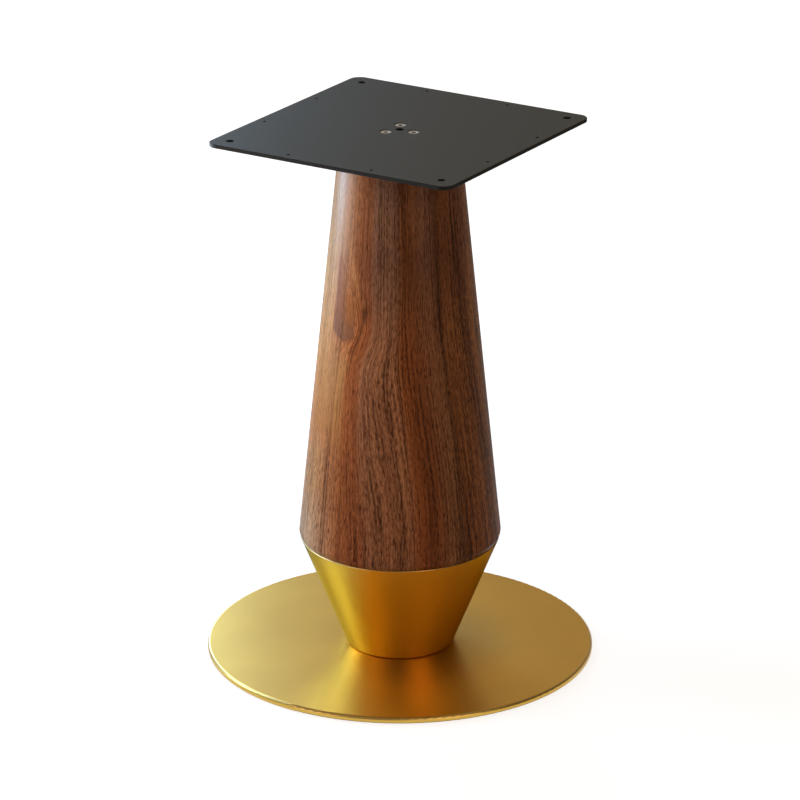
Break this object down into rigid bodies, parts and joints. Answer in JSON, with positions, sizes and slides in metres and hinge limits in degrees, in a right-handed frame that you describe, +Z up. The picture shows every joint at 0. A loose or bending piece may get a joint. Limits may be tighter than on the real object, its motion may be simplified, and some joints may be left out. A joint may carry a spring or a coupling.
{
  "type": "pedestal table base",
  "caption": "Pedestal table base: drilled square top plate on a tapered turned wooden column, an inverted metal cone and a round floor disc, clamped by a steel post.",
  "frame": {"origin": "on the floor, on the column's axis, under the middle of the floor disc", "axes": "+Z up along the column to the top plate; the square top plate's edges lie along X and Y"},
  "size_m": [0.5, 0.5, 0.7],
  "materials": {
    "gold_disc": "satin gold plating on a steel plate",
    "gold_cone": "satin gold plating on sheet metal",
    "plain_steel": "bare steel, hidden inside",
    "walnut": "walnut under a satin clear coat, grain upright",
    "black_coat": "satin black powder coat on a steel plate",
    "screw_steel": "zinc-plated steel",
    "pad_rubber": "soft black rubber with an adhesive back"
  },
  "bodies": {
    "root": {"base_disc": "gold_disc", "cone_shell": "gold_cone", "cone_plate": "plain_steel", "wood_column": "walnut", "post_tube": "plain_steel", "post_plug_low": "plain_steel", "post_plug_top": "plain_steel", "top_plate": "black_coat", "plate_screw_1": "screw_steel", "plate_screw_2": "screw_steel", "plate_screw_3": "screw_steel", "base_screw_1": "screw_steel", "base_screw_2": "screw_steel", "base_screw_3": "screw_steel", "floor_pad_1": "pad_rubber", "floor_pad_2": "pad_rubber", "floor_pad_3": "pad_rubber", "floor_pad_4": "pad_rubber", "floor_pad_5": "pad_rubber", "floor_pad_6": "pad_rubber", "floor_pad_7": "pad_rubber", "floor_pad_8": "pad_rubber"}
  },
  "joints": []
}
